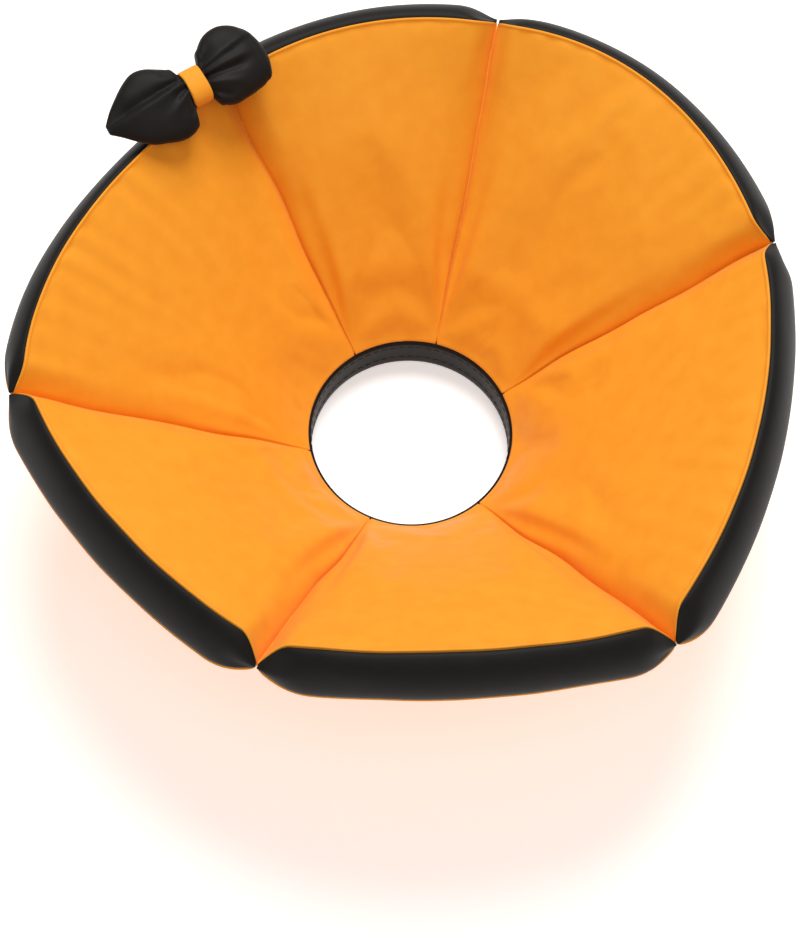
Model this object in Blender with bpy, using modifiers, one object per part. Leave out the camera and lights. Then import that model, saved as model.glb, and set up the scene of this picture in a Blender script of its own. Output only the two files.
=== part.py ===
"""Soft padded Elizabethan collar, a protective cone, with a bow.

Six padded cloth panels are sewn side by side into a cone. Each panel's wide end is closed by a
black edge strip that is pinched to a point at both seams. A plain band finishes the neck opening,
and a black bow with an orange knot is sewn beside one seam at the rim.

Metres, +Z up. The collar stands on its neck band with the wide rim up, and the origin is the
centre of the neck opening on the surface that it stands on. +Y is the side that is up when worn.
"""

import math
from typing import NamedTuple

import bmesh
import bpy
from mathutils import Matrix, Vector
from mathutils.bvhtree import BVHTree

# Clearance between any two sewn pieces
GAP = 0.0003

# Neck band
NECK_RADIUS = 0.048
NECK_BAND_WALL = 0.004
NECK_BAND_HEIGHT = 0.020
NECK_BAND_ROUND = 0.0012
NECK_BAND_SIDES = 60

# Cone of panels
CONE_HALF_ANGLE = math.radians(53)
PANEL_DEPTH = 0.155
PADDING = 0.026
SEAM_THICKNESS = 0.003
PANEL_NECK_THICKNESS = 0.0036
SEAM_ROLL = 0.019
NECK_ROLL = 0.042
NECK_TURN = 0.022
RIM_ARC = 0.0175
RIM_PUFF = 0.0044

# Black edge strip
STRIP_WALL = 0.001
STRIP_TIP = 0.0024

# Bow
BOW_WING_LENGTH = 0.042
BOW_HALF_WIDTH = 0.0195
BOW_HALF_THICKNESS = 0.0070
BOW_WAIST_HALF_WIDTH = 0.0070
BOW_WAIST_HALF_THICKNESS = 0.0048
BOW_PLEAT_DEPTH = 0.0018
BOW_PLEATS = 4
BOW_TURN = math.radians(-1)
BOW_LEAN = math.radians(17)
BOW_SET_IN = 0.0015
BOW_ASIDE = 0.0188
KNOT_WIDTH = 0.010
KNOT_WALL = 0.0016

UP = Vector((0, 0, 1))


class Seam(NamedTuple):
    """One seam between two panels: its direction at the rim and at the neck, and its reach."""

    rim_deg: float
    neck_deg: float
    reach: float  # share of the cone's rim radius


class Panel(NamedTuple):
    """One panel: how it is curved and how full it is."""

    name: str
    roundness: float  # 0 is a flat panel, 1 is part of a round cone
    arc: float  # how far its wide end curves out, as a share of RIM_ARC
    lean: float  # how far that curve leans to the next seam, from 0 for even
    padding: float  # share of PADDING
    puff: float  # share of RIM_PUFF


class WingRow(NamedTuple):
    """One section across a bow wing, as shares of its length, half width and half thickness."""

    along: float
    upper: float
    lower: float
    thick: float


# Anticlockwise, seen from above; each panel runs from its own seam to the next one
SEAMS = (
    Seam(21.0, 28.0, 0.991),
    Seam(79.9, 78.0, 1.014),
    Seam(126.0, 126.0, 0.956),
    Seam(191.2, 195.0, 1.042),
    Seam(248.9, 250.0, 0.964),
    Seam(310.9, 314.0, 1.034),
)
PANELS = (
    Panel("upper_right", 1.15, 0.05, 0.12, 1.0, 0.65),
    Panel("top", 0.90, 0.12, 0.0, 1.0, 1.07),
    Panel("upper_left", 0.50, 0.35, 0.35, 0.80, 0.45),
    Panel("lower_left", 0.35, 0.48, 0.0, 1.0, 0.60),
    Panel("bottom", 0.0, 1.0, 0.0, 1.0, 1.0),
    Panel("right", 0.45, 0.36, 0.0, 1.0, 0.72),
)
BOW_PANEL = "upper_left"  # the bow lies where this panel's own seam meets the rim

# From just outside the knot to the folded end
RIGHT_WING = (
    WingRow(0.15, 0.62, 0.62, 0.80),
    WingRow(0.21, 0.76, 0.72, 0.92),
    WingRow(0.31, 0.94, 0.81, 1.00),
    WingRow(0.45, 1.04, 0.80, 1.00),
    WingRow(0.60, 1.00, 0.76, 0.96),
    WingRow(0.74, 0.80, 0.68, 0.82),
    WingRow(0.84, 0.50, 0.52, 0.58),
    WingRow(0.885, 0.20, 0.24, 0.30),
)
LEFT_WING = (
    WingRow(0.15, 0.58, 0.76, 0.80),
    WingRow(0.21, 0.67, 0.92, 0.92),
    WingRow(0.30, 0.78, 1.00, 1.00),
    WingRow(0.43, 0.92, 1.00, 1.00),
    WingRow(0.57, 0.95, 0.90, 0.96),
    WingRow(0.72, 0.81, 0.78, 0.84),
    WingRow(0.86, 0.60, 0.55, 0.66),
    WingRow(1.00, 0.35, 0.27, 0.46),
    WingRow(1.10, 0.12, 0.10, 0.24),
)

# Where the sections of a panel lie: along its depth, from its strip's tip over the rolled side,
# and in even steps over its flat middle and round its wide end
DEPTH_SHARES = (0.0, 0.06, 0.14, 0.24, 0.38, 0.54, 0.70, 0.86, 1.0)
ROLL_SHARES = (0.25, 0.58, 1.0)
FLAT_STEPS = 5
END_STEPS = 6

# Shares of a panel: the depth by which it takes its own curvature, and the width by which a flat
# one turns from its neighbour's slope to its own
CURVED_BY = 0.5
FLAT_BY = 0.2

# Round form of the bow: 1 is an oval, less is boxier
BOW_FULLNESS = 0.8
BOW_SECTION_POINTS = 20


def mix(a, b, share):
    """The value at a share of the way from a to b."""
    return a + (b - a) * share


def ease(share):
    """A share of 0 to 1 that starts and ends gently."""
    share = min(max(share, 0.0), 1.0)
    return share * share * (3 - 2 * share)


def polar(radius, degrees, height):
    """A point by its radius, direction and height."""
    angle = math.radians(degrees)
    return Vector((radius * math.cos(angle), radius * math.sin(angle), height))


def clear_scene():
    """Removes what the file holds, so that the model is alone in it."""
    for item in list(bpy.data.objects):
        bpy.data.objects.remove(item)
    for group in list(bpy.data.collections):
        bpy.data.collections.remove(group)


def make_material(name, colour, roughness):
    """A cloth's Principled material."""
    material = bpy.data.materials.new(name)
    material.use_nodes = True
    shader = material.node_tree.nodes["Principled BSDF"]
    shader.inputs["Base Color"].default_value = (*colour, 1.0)
    shader.inputs["Roughness"].default_value = roughness
    shader.inputs["Metallic"].default_value = 0.0
    material.diffuse_color = (*colour, 1.0)
    return material


def add_object(name, bm, material, collection, sharp_deg=50):
    """Turns a bmesh into a named object with outward faces and smooth shading."""
    bmesh.ops.recalc_face_normals(bm, faces=bm.faces)
    mesh = bpy.data.meshes.new(name)
    bm.to_mesh(mesh)
    bm.free()
    mesh.shade_smooth()
    mesh.set_sharp_from_angle(angle=math.radians(sharp_deg))
    mesh.materials.append(material)
    obj = bpy.data.objects.new(name, mesh)
    collection.objects.link(obj)
    return obj


def loft(sections):
    """A closed skin through closed sections that all have as many points, capped at both ends."""
    bm = bmesh.new()
    rings = [[bm.verts.new(point) for point in section] for section in sections]
    count = len(rings[0])
    for low, high in zip(rings, rings[1:]):
        for i in range(count):
            j = (i + 1) % count
            bm.faces.new((low[i], low[j], high[j], high[i]))
    half = count // 2
    for ring in (rings[0], rings[-1]):
        for i in range(half - 1):
            bm.faces.new((ring[i], ring[i + 1], ring[count - 2 - i], ring[count - 1 - i]))
        if count % 2:
            bm.faces.new((ring[half - 1], ring[half], ring[half + 1]))
    return bm


# Cone of panels

CONE_NECK_RADIUS = NECK_RADIUS + NECK_BAND_WALL / 2
CONE_NECK_HEIGHT = NECK_BAND_HEIGHT + GAP
CONE_RIM_RADIUS = CONE_NECK_RADIUS + PANEL_DEPTH * math.sin(CONE_HALF_ANGLE)
CONE_RIM_HEIGHT = CONE_NECK_HEIGHT + PANEL_DEPTH * math.cos(CONE_HALF_ANGLE)


def seam_point(seam, v):
    """A point of the seam, v being 0 at the neck band and 1 at the rim."""
    neck = polar(CONE_NECK_RADIUS, seam.neck_deg, CONE_NECK_HEIGHT)
    rim = polar(CONE_RIM_RADIUS * seam.reach, seam.rim_deg, CONE_RIM_HEIGHT)
    return mix(neck, rim, v)


def cone_normal(point):
    """The round cone's normal at a point, towards its axis and up."""
    inward = Vector((-point.x, -point.y, 0)).normalized()
    return inward * math.cos(CONE_HALF_ANGLE) + UP * math.sin(CONE_HALF_ANGLE)


def around(low, high, share):
    """A point between two points of the cone, on the arc round the axis that joins them."""
    start = math.atan2(low.y, low.x)
    turn = (math.atan2(high.y, high.x) - start) % math.tau
    radius = mix(low.xy.length, high.xy.length, share)
    return polar(radius, math.degrees(start + turn * share), mix(low.z, high.z, share))


class PanelShape:
    """The padded body of one panel between two seams, and where its edge strip lies."""

    def __init__(self, panel, low_seam, high_seam):
        self.panel = panel
        self.low = low_seam
        self.high = high_seam
        self.width = (seam_point(high_seam, 1) - seam_point(low_seam, 1)).length

    def across(self, u, v):
        """The share between the seams that leaves half the clearance at each of them."""
        width = (seam_point(self.high, v) - seam_point(self.low, v)).length
        edge = GAP / 2 / width
        return mix(edge, 1 - edge, u)

    def middle(self, u, v):
        """A point of the panel's middle surface."""
        low, high = seam_point(self.low, v), seam_point(self.high, v)
        share = self.across(u, v)
        flat = mix(low, high, share)
        roundness = mix(1.0, self.panel.roundness, ease(v / CURVED_BY))
        bulge = (around(low, high, share) - flat) * roundness
        slant = (high + low - seam_point(self.low, 0) - seam_point(self.high, 0)).normalized()
        arc = slant * (self.panel.arc * RIM_ARC * 4 * share * (1 - share) * v * v)
        return flat + (bulge + arc) * (1 + self.panel.lean * (2 * share - 1) * v)

    def normal(self, u, v):
        """The direction of the padding's thickness, towards the axis, level at the neck band."""
        low, high = cone_normal(seam_point(self.low, v)), cone_normal(seam_point(self.high, v))
        near = low if u < 0.5 else high
        flat = mix(near, (low + high).normalized(), ease(min(u, 1 - u) / FLAT_BY))
        curved = mix(low, high, u)
        direction = mix(flat, curved, min(self.panel.roundness, 1.0)).normalized()
        middle = self.middle(u, v)
        level = Vector((-middle.x, -middle.y, 0)).normalized()
        return mix(level, direction, ease(v * PANEL_DEPTH / NECK_TURN)).normalized()

    def slant(self, u):
        """The direction in which the panel runs out at the rim."""
        inner = DEPTH_SHARES[-2]
        return (self.middle(u, 1.0) - self.middle(u, inner)).normalized()

    def roll(self, u):
        """How far the padding has risen from the seam, from 0 at the seam to 1."""
        distance = min(u, 1 - u) * self.width
        return math.sin(math.pi / 2 * min(distance / SEAM_ROLL, 1.0))

    def half_thickness(self, u, v):
        """Half the panel's thickness."""
        neck = PANEL_NECK_THICKNESS / 2
        full = mix(neck, PADDING * self.panel.padding / 2, ease(v * PANEL_DEPTH / NECK_ROLL))
        seam = mix(neck, SEAM_THICKNESS / 2, ease(v))
        return mix(seam, full, self.roll(u))

    def strip_stations(self):
        """Where the strip's sections lie across the panel, short of the pinched seams."""
        tip = STRIP_TIP / self.width
        roll = SEAM_ROLL / self.width
        near = [tip] + [mix(tip, roll, share) for share in ROLL_SHARES]
        flat = [mix(roll, 1 - roll, i / FLAT_STEPS) for i in range(1, FLAT_STEPS)]
        return near + flat + [1 - u for u in reversed(near)]

    def end_arc(self, u, inset):
        """Points round the panel's wide end, front to back, set in from its outline."""
        centre = self.middle(u, 1.0)
        normal, slant = self.normal(u, 1.0), self.slant(u)
        half = self.half_thickness(u, 1.0)
        puff = RIM_PUFF * self.panel.puff * self.roll(u) ** 2 + STRIP_WALL + 2 * GAP
        points = []
        for step in range(END_STEPS + 1):
            angle = math.pi * step / END_STEPS
            rise = (half - min(inset, half / 2)) * math.cos(angle)
            out = (puff - inset) * math.sin(angle)
            points.append(centre + normal * rise + slant * out)
        return points

    def face(self, u, side):
        """Points along one face, from the neck to the rim; side is 1 in front and -1 behind."""
        points = []
        for v in DEPTH_SHARES:
            offset = self.normal(u, v) * self.half_thickness(u, v) * side
            points.append(self.middle(u, v) + offset)
        return points

    def section(self, u):
        """A closed section of the padded panel, along its front, round its end and back."""
        end = self.end_arc(u, STRIP_WALL + GAP)
        return self.face(u, 1) + end + list(reversed(self.face(u, -1)))

    def strip_section(self, u):
        """A closed section of the edge strip, flush with the panel's two faces."""
        lift = self.slant(u) * GAP
        outer = [point + lift for point in self.end_arc(u, 0)]
        inner = [point + lift for point in self.end_arc(u, STRIP_WALL)]
        return outer + list(reversed(inner))

    def panel_mesh(self):
        """The padded panel, from seam to seam."""
        return loft([self.section(u) for u in [0.0] + self.strip_stations() + [1.0]])

    def strip_mesh(self):
        """The edge strip round the panel's wide end."""
        return loft([self.strip_section(u) for u in self.strip_stations()])


def build_panels(orange, black, collection):
    """The padded panels, each between its own seam and the next, and their edge strips."""
    pieces = []
    for panel, low, high in zip(PANELS, SEAMS, SEAMS[1:] + SEAMS[:1]):
        shape = PanelShape(panel, low, high)
        body = add_object(f"panel_{panel.name}", shape.panel_mesh(), orange, collection)
        strip = add_object(f"edge_strip_{panel.name}", shape.strip_mesh(), black, collection)
        pieces += [body, strip]
    return pieces


# Neck band


def build_neck_band(material, collection):
    """The plain band round the neck opening, a closed profile turned about the axis."""
    outer = NECK_RADIUS + NECK_BAND_WALL
    edge = NECK_BAND_ROUND
    profile = (
        (outer, NECK_BAND_HEIGHT),
        (outer, edge),
        (outer - edge, 0),
        (NECK_RADIUS + edge, 0),
        (NECK_RADIUS, edge),
        (NECK_RADIUS, NECK_BAND_HEIGHT),
    )
    mesh = bpy.data.meshes.new("neck_band")
    edges = [(i, (i + 1) % len(profile)) for i in range(len(profile))]
    mesh.from_pydata([(radius, 0, height) for radius, height in profile], edges, [])
    mesh.materials.append(material)
    band = bpy.data.objects.new("neck_band", mesh)
    collection.objects.link(band)
    turn = band.modifiers.new("turn", "SCREW")
    turn.axis = "Z"
    turn.angle = math.tau
    turn.steps = NECK_BAND_SIDES
    turn.render_steps = NECK_BAND_SIDES
    turn.use_merge_vertices = True
    turn.merge_threshold = 0.00001
    return band


# Bow


def boxy(value):
    """A sine or cosine that makes an oval fuller."""
    return math.copysign(abs(value) ** BOW_FULLNESS, value)


def bow_section(along, upper, lower, thick, pleat):
    """A closed oval across the bow, with pleats that run out from the knot."""
    points = []
    for step in range(BOW_SECTION_POINTS):
        angle = math.tau * step / BOW_SECTION_POINTS
        side, height = math.cos(angle), math.sin(angle)
        fold = pleat * math.cos(BOW_PLEATS * math.pi * side / 2) * height * height
        width = upper if side > 0 else lower
        points.append(Vector((along, side * width, boxy(height) * thick + fold)))
    return points


def wing_sections(rows, direction):
    """Sections of one wing, direction being 1 to the right and -1 to the left."""
    sections = []
    for row in rows:
        along = direction * row.along * BOW_WING_LENGTH
        upper, lower = row.upper * BOW_HALF_WIDTH, row.lower * BOW_HALF_WIDTH
        pleat = BOW_PLEAT_DEPTH * math.sin(math.pi * min(row.along, 1.0))
        sections.append(bow_section(along, upper, lower, row.thick * BOW_HALF_THICKNESS, pleat))
    return sections


def waist_sections():
    """The two equal sections at the ends of the stretch that the knot holds."""
    reach = KNOT_WIDTH / 2 + GAP
    half = BOW_WAIST_HALF_WIDTH
    return [bow_section(side * reach, half, half, BOW_WAIST_HALF_THICKNESS, 0) for side in (-1, 1)]


def build_knot(material, collection):
    """The band round the waist, an open ribbon that its wall thickens outwards."""
    half, thick = BOW_WAIST_HALF_WIDTH + GAP, BOW_WAIST_HALF_THICKNESS + GAP
    bm = bmesh.new()
    ends = []
    for side in (-1, 1):
        section = bow_section(side * KNOT_WIDTH / 2, half, half, thick, 0)
        ends.append([bm.verts.new(point) for point in section])
    for i in range(BOW_SECTION_POINTS):
        j = (i + 1) % BOW_SECTION_POINTS
        bm.faces.new((ends[0][i], ends[0][j], ends[1][j], ends[1][i]))
    knot = add_object("bow_knot", bm, material, collection)
    wall = knot.modifiers.new("wall", "SOLIDIFY")
    wall.thickness = KNOT_WALL
    wall.offset = 1
    return knot


def surface_of(obj):
    """A search tree over an object's finished faces in world space, and points along its edges."""
    evaluated = obj.evaluated_get(bpy.context.evaluated_depsgraph_get())
    bm = bmesh.new()
    bm.from_mesh(evaluated.to_mesh())
    bm.transform(obj.matrix_world)
    tree = BVHTree.FromBMesh(bm)
    points = [vert.co.copy() for vert in bm.verts]
    for edge in bm.edges:
        first, last = (vert.co for vert in edge.verts)
        points += [mix(first, last, share) for share in (0.25, 0.5, 0.75)]
    bm.free()
    evaluated.to_mesh_clear()
    return tree, points


def fall_to_seat(pieces, seats, down):
    """How far the pieces can move along down until they are GAP from the nearest seat."""
    nearest = math.inf
    for piece_tree, piece_points in map(surface_of, pieces):
        for seat_tree, seat_points in map(surface_of, seats):
            for tree, points, way in (
                (seat_tree, piece_points, down),
                (piece_tree, seat_points, -down),
            ):
                for point in points:
                    distance = tree.ray_cast(point, way)[3]
                    if distance is not None:
                        nearest = min(nearest, distance)
    return nearest - GAP


def bow_frame():
    """The bow's directions, along it, across it and out of it, and the point that it covers."""
    seam = SEAMS[[panel.name for panel in PANELS].index(BOW_PANEL)]
    rim = seam_point(seam, 1)
    outward = (rim - seam_point(seam, 0)).normalized()
    facing = cone_normal(rim) * math.cos(BOW_LEAN) + outward * math.sin(BOW_LEAN)
    sideways = outward.cross(facing).normalized()
    upward = facing.cross(sideways)
    along = sideways * math.cos(BOW_TURN) + upward * math.sin(BOW_TURN)
    centre = rim - outward * BOW_SET_IN - along * BOW_ASIDE
    return along, facing.cross(along), facing, centre


def build_bow(seats, orange, black, collection):
    """The bow and its knot, laid on the front of the collar where one seam meets the rim."""
    left = list(reversed(wing_sections(LEFT_WING, -1)))
    right = wing_sections(RIGHT_WING, 1)
    bow = add_object("bow", loft(left + waist_sections() + right), black, collection)
    knot = build_knot(orange, collection)
    place = bpy.data.objects.new("bow_place", None)
    collection.objects.link(place)
    for piece in (bow, knot):
        piece.parent = place
    along, across, facing, centre = bow_frame()
    turned = Matrix((along, across, facing)).transposed().to_4x4()
    start = centre + facing * (PADDING + BOW_HALF_WIDTH)
    place.matrix_world = Matrix.Translation(start) @ turned
    bpy.context.view_layer.update()
    fall = fall_to_seat((bow, knot), seats, -facing)
    place.matrix_world = Matrix.Translation(start - facing * fall) @ turned
    bpy.context.view_layer.update()


def build():
    """The whole collar, in a collection of its own."""
    clear_scene()
    collection = bpy.data.collections.new("elizabethan_collar")
    bpy.context.scene.collection.children.link(collection)
    orange = make_material("orange_cloth", (0.93, 0.33, 0.03), 0.55)
    black = make_material("black_cloth", (0.012, 0.011, 0.010), 0.6)
    seats = build_panels(orange, black, collection)
    build_neck_band(black, collection)
    build_bow(seats, orange, black, collection)


build()
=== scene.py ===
"""The looks of the soft padded Elizabethan collar: sewn and filled cloth, edge strips, bow and stitches.

Metres, +Z up, in the frame of the part that it dresses. The collar stands on its neck band with the
wide rim up, and the camera looks into the cone from in front and above.
"""

import logging
import math
from dataclasses import dataclass, field
from enum import Enum
from typing import Iterable, Sequence

import bmesh
import bpy
import numpy as np
from mathutils import Matrix, Vector, noise


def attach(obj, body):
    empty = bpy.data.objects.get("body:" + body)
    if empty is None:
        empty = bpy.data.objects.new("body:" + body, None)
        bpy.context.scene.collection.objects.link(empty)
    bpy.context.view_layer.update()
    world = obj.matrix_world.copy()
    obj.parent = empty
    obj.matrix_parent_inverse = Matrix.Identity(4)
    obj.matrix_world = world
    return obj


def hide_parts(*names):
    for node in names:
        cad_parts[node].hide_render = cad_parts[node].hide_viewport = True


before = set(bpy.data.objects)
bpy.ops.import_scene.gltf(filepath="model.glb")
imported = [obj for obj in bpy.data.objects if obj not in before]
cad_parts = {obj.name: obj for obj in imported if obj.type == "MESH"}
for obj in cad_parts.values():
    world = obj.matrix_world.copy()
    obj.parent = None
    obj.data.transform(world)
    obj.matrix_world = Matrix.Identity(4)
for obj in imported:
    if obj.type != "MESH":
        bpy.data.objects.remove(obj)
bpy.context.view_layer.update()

LOG = logging.getLogger("collar")
MM = 0.001
BODY = "root"
# A wave texture's bands repeat at tau / 20 of its unit
WAVE_UNIT = 20.0


def mix(a, b, share):
    """Returns the value at a share of the way from a to b."""
    return a + (b - a) * share


def ease(share: np.ndarray | float) -> np.ndarray:
    """Returns a share of 0 to 1 that starts and ends gently."""
    share = np.clip(share, 0.0, 1.0)
    return share * share * (3 - 2 * share)


def unit(vectors: np.ndarray) -> np.ndarray:
    """Returns the vectors at length 1."""
    return vectors / np.maximum(np.linalg.norm(vectors, axis=-1, keepdims=True), 1e-12)


def bump(distance: np.ndarray | float, width: float) -> np.ndarray:
    """Returns a soft hump, 1 at no distance and about 0 past twice its width."""
    return np.exp(-((distance / width) ** 2))


def uneven(x: np.ndarray | float, y: np.ndarray | float, z: np.ndarray | float) -> np.ndarray:
    """Returns smooth noise of about -1 to 1 at points given by their coordinates."""
    return np.vectorize(lambda *place: noise.noise(place), otypes=[float])(x, y, z)


def linear(hex_colour: str) -> tuple[float, float, float, float]:
    """Turns an sRGB hex value into a linear colour.

    Args:
        hex_colour: Six hex digits, such as "f29c2b".

    Returns:
        Linear red, green, blue and an alpha of 1.
    """
    values = [int(hex_colour[i : i + 2], 16) / 255 for i in (0, 2, 4)]
    parts = [v / 12.92 if v <= 0.04045 else ((v + 0.055) / 1.055) ** 2.4 for v in values]
    return (*parts, 1.0)


# Finishes


def add_node(
    tree: bpy.types.NodeTree, kind: str, links: dict | None = None, **settings
) -> bpy.types.Node:
    """Adds a node with its settings and links.

    Args:
        tree: The node tree.
        kind: The node's type name.
        links: Input name or index to the output socket that feeds it, or to a plain value.
        settings: The node's own properties.

    Returns:
        The new node.
    """
    node = tree.nodes.new(kind)
    for name, value in settings.items():
        setattr(node, name, value)
    for name, value in (links or {}).items():
        if isinstance(value, bpy.types.NodeSocket):
            tree.links.new(value, node.inputs[name])
        else:
            node.inputs[name].default_value = value
    return node


def new_tree(name: str) -> tuple[bpy.types.Material, bpy.types.NodeTree]:
    """Returns a new material and its empty node tree."""
    material = bpy.data.materials.new(name)
    material.use_nodes = True
    material.node_tree.nodes.clear()
    return material, material.node_tree


def surface(
    tree: bpy.types.NodeTree,
    height: bpy.types.NodeSocket,
    strength: float,
    relief_mm: float,
    looks: dict,
) -> None:
    """Ends a material's tree with its relief, its surface and its output.

    Args:
        tree: The material's node tree.
        height: The output that gives the relief's height.
        strength: How strongly the relief shows.
        relief_mm: How high it stands.
        looks: The surface's own inputs.
    """
    sizes = {"Height": height, "Strength": strength, "Distance": relief_mm * MM}
    relief = add_node(tree, "ShaderNodeBump", sizes)
    inputs = {**looks, "Normal": relief.outputs["Normal"]}
    shader = add_node(tree, "ShaderNodeBsdfPrincipled", inputs)
    add_node(tree, "ShaderNodeOutputMaterial", {"Surface": shader.outputs["BSDF"]})


@dataclass(frozen=True)
class WovenPolyester:
    """Plain-woven polyester, dyed, with the flat soft shine of fine filament yarn.

    The real yarns lie 0.25 mm apart, too fine to show, so the weave is drawn at twice that.
    """

    name: str
    colour: str
    worn_colour: str
    roughness: float = 0.62
    sheen: float = 0.25
    yarn_mm: float = 0.5
    weave_depth: float = 0.05
    slub_mm: float = 9.0
    relief_mm: float = 0.4
    relief_strength: float = 0.25

    def material(self) -> bpy.types.Material:
        """Returns the cloth's material."""
        material, tree = new_tree(self.name)
        cloth = add_node(tree, "ShaderNodeUVMap", uv_map="cloth").outputs["UV"]
        place = add_node(tree, "ShaderNodeTexCoord").outputs["Object"]
        settings = {"Scale": math.tau / (self.yarn_mm * MM) / WAVE_UNIT, "Distortion": 0.0}
        warp = add_node(tree, "ShaderNodeTexWave", {"Vector": cloth, **settings}, bands_direction="X")
        weft = add_node(tree, "ShaderNodeTexWave", {"Vector": cloth, **settings}, bands_direction="Y")
        crossed = {0: warp.outputs["Fac"], 1: weft.outputs["Fac"]}
        weave = add_node(tree, "ShaderNodeMath", crossed, operation="MULTIPLY")
        cloudy = add_node(
            tree,
            "ShaderNodeTexNoise",
            {"Vector": place, "Scale": 1 / (self.slub_mm * MM), "Detail": 3.0, "Roughness": 0.5},
        )
        height = add_node(
            tree,
            "ShaderNodeMath",
            {0: weave.outputs[0], 1: self.weave_depth, 2: cloudy.outputs["Fac"]},
            operation="MULTIPLY_ADD",
        )
        tone = add_node(tree, "ShaderNodeValToRGB", {"Fac": cloudy.outputs["Fac"]})
        tone.color_ramp.elements[0].position = 0.3
        tone.color_ramp.elements[0].color = linear(self.worn_colour)
        tone.color_ramp.elements[1].position = 0.7
        tone.color_ramp.elements[1].color = linear(self.colour)
        looks = {
            "Base Color": tone.outputs["Color"],
            "Roughness": self.roughness,
            "IOR": 1.5,
            "Specular IOR Level": 0.22,
            "Sheen Weight": self.sheen,
            "Sheen Roughness": 0.4,
        }
        surface(tree, height.outputs[0], self.relief_strength, self.relief_mm, looks)
        return material


@dataclass(frozen=True)
class SpunThread:
    """Twisted polyester sewing thread, whose plies show as a fine slanting ripple."""

    name: str
    colour: str
    ply_mm: float = 0.4

    def material(self) -> bpy.types.Material:
        """Returns the thread's material."""
        material, tree = new_tree(self.name)
        place = add_node(tree, "ShaderNodeTexCoord").outputs["Object"]
        plies = add_node(
            tree,
            "ShaderNodeTexWave",
            {"Vector": place, "Scale": math.tau / (self.ply_mm * MM) / WAVE_UNIT},
            bands_direction="DIAGONAL",
        )
        looks = {"Base Color": linear(self.colour), "Roughness": 0.5, "IOR": 1.5}
        surface(tree, plies.outputs["Fac"], 0.5, 0.1, looks)
        return material


@dataclass(frozen=True)
class StudioPaper:
    """Matt white background paper with a barely visible tooth, lit a little from below."""

    name: str = "matt_background_paper"
    colour: str = "fbfbfb"
    glow: float = 0.4

    def material(self) -> bpy.types.Material:
        """Returns the paper's material."""
        material, tree = new_tree(self.name)
        place = add_node(tree, "ShaderNodeTexCoord").outputs["Object"]
        tooth = add_node(tree, "ShaderNodeTexNoise", {"Vector": place, "Scale": 900.0})
        looks = {
            "Base Color": linear(self.colour),
            "Roughness": 0.9,
            "Emission Color": linear(self.colour),
            "Emission Strength": self.glow,
        }
        surface(tree, tooth.outputs["Fac"], 0.05, 0.1, looks)
        return material


# Saturated orange shell cloth with a faint sheen, the flat near-black cloth of the edge strips and
# the bow, and the slightly lighter thread of the neck's topstitches
ORANGE = WovenPolyester("orange_woven_polyester", "f7a32a", "f39c25", sheen=0.12)
BLACK = WovenPolyester("black_woven_polyester", "12100e", "0d0b0a", roughness=0.6, sheen=0.1)
BLACK_THREAD = SpunThread("black_sewing_thread", "2b2825")


class Slot(Enum):
    """The record's material slots."""

    ORANGE = "orange_cloth"
    BLACK = "black_cloth"


def placed(name: str, data: bpy.types.ID) -> bpy.types.Object:
    """Returns a new object with its data, linked to the scene."""
    obj = bpy.data.objects.new(name, data)
    bpy.context.scene.collection.objects.link(obj)
    return obj


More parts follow.
